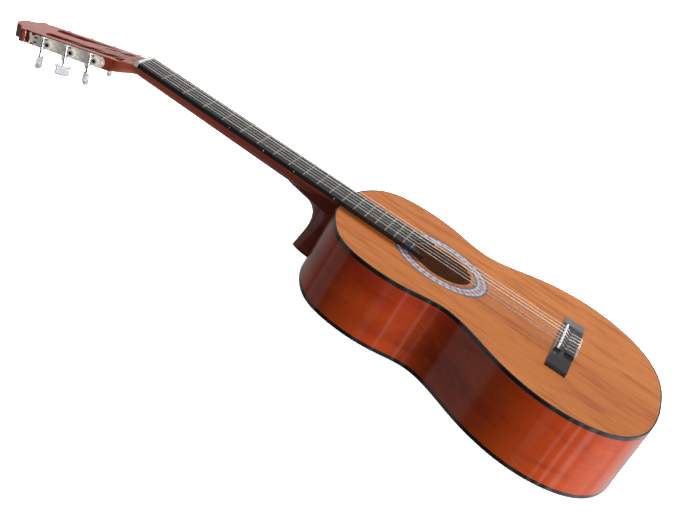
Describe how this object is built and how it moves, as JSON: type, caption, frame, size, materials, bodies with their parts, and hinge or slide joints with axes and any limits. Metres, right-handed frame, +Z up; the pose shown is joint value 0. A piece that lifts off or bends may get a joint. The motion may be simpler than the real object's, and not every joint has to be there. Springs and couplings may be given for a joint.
{
  "type": "classical guitar",
  "caption": "Nylon-string acoustic guitar with a hollow body, slotted headstock and worm-geared tuning machines that turn.",
  "frame": {"origin": "centre of the guitar's overall box, on the plane its flat back rests on", "axes": "+X towards the treble side, +Y from the tail to the head, +Z up out of the soundboard; the guitar lies on its back"},
  "size_m": [0.374, 0.9966, 0.112],
  "materials": {
    "spruce_top": "amber gloss lacquer over straight grain",
    "red_mahogany": "deep red-brown gloss lacquer",
    "neck_wood": "red-brown gloss lacquer",
    "raw_wood": "bare, unfinished",
    "black_binding": "gloss",
    "rosette_mosaic": "mosaic ring under lacquer",
    "ebonised_wood": "black, satin",
    "bridge_black": "black, gloss",
    "bone_white": "polished",
    "fret_metal": "polished nickel silver",
    "pearl_dot": "gloss",
    "nickel_plate": "satin nickel, stamped",
    "chrome_steel": "bright",
    "gear_brass": "nickel-plated",
    "roller_white": "satin",
    "pearl_button": "pearl, gloss",
    "string_nylon": "clear",
    "string_wound": "silver-plated winding"
  },
  "bodies": {
    "guitar": {"soundboard": "spruce_top", "rosette": "rosette_mosaic", "back_plate": "red_mahogany", "side_bass_tail": "red_mahogany", "side_bass_lower": "red_mahogany", "side_bass_upper": "red_mahogany", "side_treble_tail": "red_mahogany", "side_treble_lower": "red_mahogany", "side_treble_upper": "red_mahogany", "top_binding": "black_binding", "back_binding": "black_binding", "neck_block": "raw_wood", "tail_block": "raw_wood", "linings": "raw_wood", "top_braces": "raw_wood", "bridge_patch": "raw_wood", "back_braces": "raw_wood", "back_seam_strip": "raw_wood", "bridge": "bridge_black", "saddle": "bone_white", "neck": "neck_wood", "heel_cap": "black_binding", "headstock": "neck_wood", "fingerboard": "ebonised_wood", "frets": "fret_metal", "side_dots": "pearl_dot", "nut": "bone_white", "plate_screws": "nickel_plate", "string_1": "string_nylon", "string_2": "string_nylon", "string_3": "string_nylon", "string_4": "string_wound", "string_5": "string_wound", "string_6": "string_wound", "machine_plate_bass": "nickel_plate", "machine_plate_treble": "nickel_plate"},
    "worm_body_bass_1": {"worm_bass_1": "chrome_steel", "button_bass_1": "pearl_button"},
    "roller_body_bass_1": {"roller_bass_1": "roller_white", "gear_bass_1": "gear_brass"},
    "worm_body_bass_2": {"worm_bass_2": "chrome_steel", "button_bass_2": "pearl_button"},
    "roller_body_bass_2": {"roller_bass_2": "roller_white", "gear_bass_2": "gear_brass"},
    "worm_body_bass_3": {"worm_bass_3": "chrome_steel", "button_bass_3": "pearl_button"},
    "roller_body_bass_3": {"roller_bass_3": "roller_white", "gear_bass_3": "gear_brass"},
    "worm_body_treble_1": {"worm_treble_1": "chrome_steel", "button_treble_1": "pearl_button"},
    "roller_body_treble_1": {"roller_treble_1": "roller_white", "gear_treble_1": "gear_brass"},
    "worm_body_treble_2": {"worm_treble_2": "chrome_steel", "button_treble_2": "pearl_button"},
    "roller_body_treble_2": {"roller_treble_2": "roller_white", "gear_treble_2": "gear_brass"},
    "worm_body_treble_3": {"worm_treble_3": "chrome_steel", "button_treble_3": "pearl_button"},
    "roller_body_treble_3": {"roller_treble_3": "roller_white", "gear_treble_3": "gear_brass"}
  },
  "joints": [
    {"name": "worm_bass_1_turn", "type": "hinge", "parent": "guitar", "child": "worm_body_bass_1", "pos_m": [-0.036, 0.37349, 0.06572], "axis": [0, 0.2715, 0.9625], "continuous": true},
    {"name": "roller_bass_1_turn", "type": "hinge", "parent": "guitar", "child": "roller_body_bass_1", "pos_m": [-0.016, 0.36656, 0.06767], "axis": [1, 0, 0], "continuous": true},
    {"name": "worm_bass_2_turn", "type": "hinge", "parent": "guitar", "child": "worm_body_bass_2", "pos_m": [-0.036, 0.40717, 0.05622], "axis": [0, 0.2715, 0.9625], "continuous": true},
    {"name": "roller_bass_2_turn", "type": "hinge", "parent": "guitar", "child": "roller_body_bass_2", "pos_m": [-0.016, 0.40024, 0.05817], "axis": [1, 0, 0], "continuous": true},
    {"name": "worm_bass_3_turn", "type": "hinge", "parent": "guitar", "child": "worm_body_bass_3", "pos_m": [-0.036, 0.44086, 0.04672], "axis": [0, 0.2715, 0.9625], "continuous": true},
    {"name": "roller_bass_3_turn", "type": "hinge", "parent": "guitar", "child": "roller_body_bass_3", "pos_m": [-0.016, 0.43393, 0.04867], "axis": [1, 0, 0], "continuous": true},
    {"name": "worm_treble_1_turn", "type": "hinge", "parent": "guitar", "child": "worm_body_treble_1", "pos_m": [0.036, 0.37349, 0.06572], "axis": [0, 0.2715, 0.9625], "continuous": true},
    {"name": "roller_treble_1_turn", "type": "hinge", "parent": "guitar", "child": "roller_body_treble_1", "pos_m": [0.016, 0.36656, 0.06767], "axis": [1, 0, 0], "continuous": true},
    {"name": "worm_treble_2_turn", "type": "hinge", "parent": "guitar", "child": "worm_body_treble_2", "pos_m": [0.036, 0.40717, 0.05622], "axis": [0, 0.2715, 0.9625], "continuous": true},
    {"name": "roller_treble_2_turn", "type": "hinge", "parent": "guitar", "child": "roller_body_treble_2", "pos_m": [0.016, 0.40024, 0.05817], "axis": [1, 0, 0], "continuous": true},
    {"name": "worm_treble_3_turn", "type": "hinge", "parent": "guitar", "child": "worm_body_treble_3", "pos_m": [0.036, 0.44086, 0.04672], "axis": [0, 0.2715, 0.9625], "continuous": true},
    {"name": "roller_treble_3_turn", "type": "hinge", "parent": "guitar", "child": "roller_body_treble_3", "pos_m": [0.016, 0.43393, 0.04867], "axis": [1, 0, 0], "continuous": true}
  ],
  "couplings": [
    {"joint": "roller_bass_1_turn", "follows": "worm_bass_1_turn", "ratio": -0.071429},
    {"joint": "roller_bass_2_turn", "follows": "worm_bass_2_turn", "ratio": -0.071429},
    {"joint": "roller_bass_3_turn", "follows": "worm_bass_3_turn", "ratio": -0.071429},
    {"joint": "roller_treble_1_turn", "follows": "worm_treble_1_turn", "ratio": -0.071429},
    {"joint": "roller_treble_2_turn", "follows": "worm_treble_2_turn", "ratio": -0.071429},
    {"joint": "roller_treble_3_turn", "follows": "worm_treble_3_turn", "ratio": -0.071429}
  ]
}
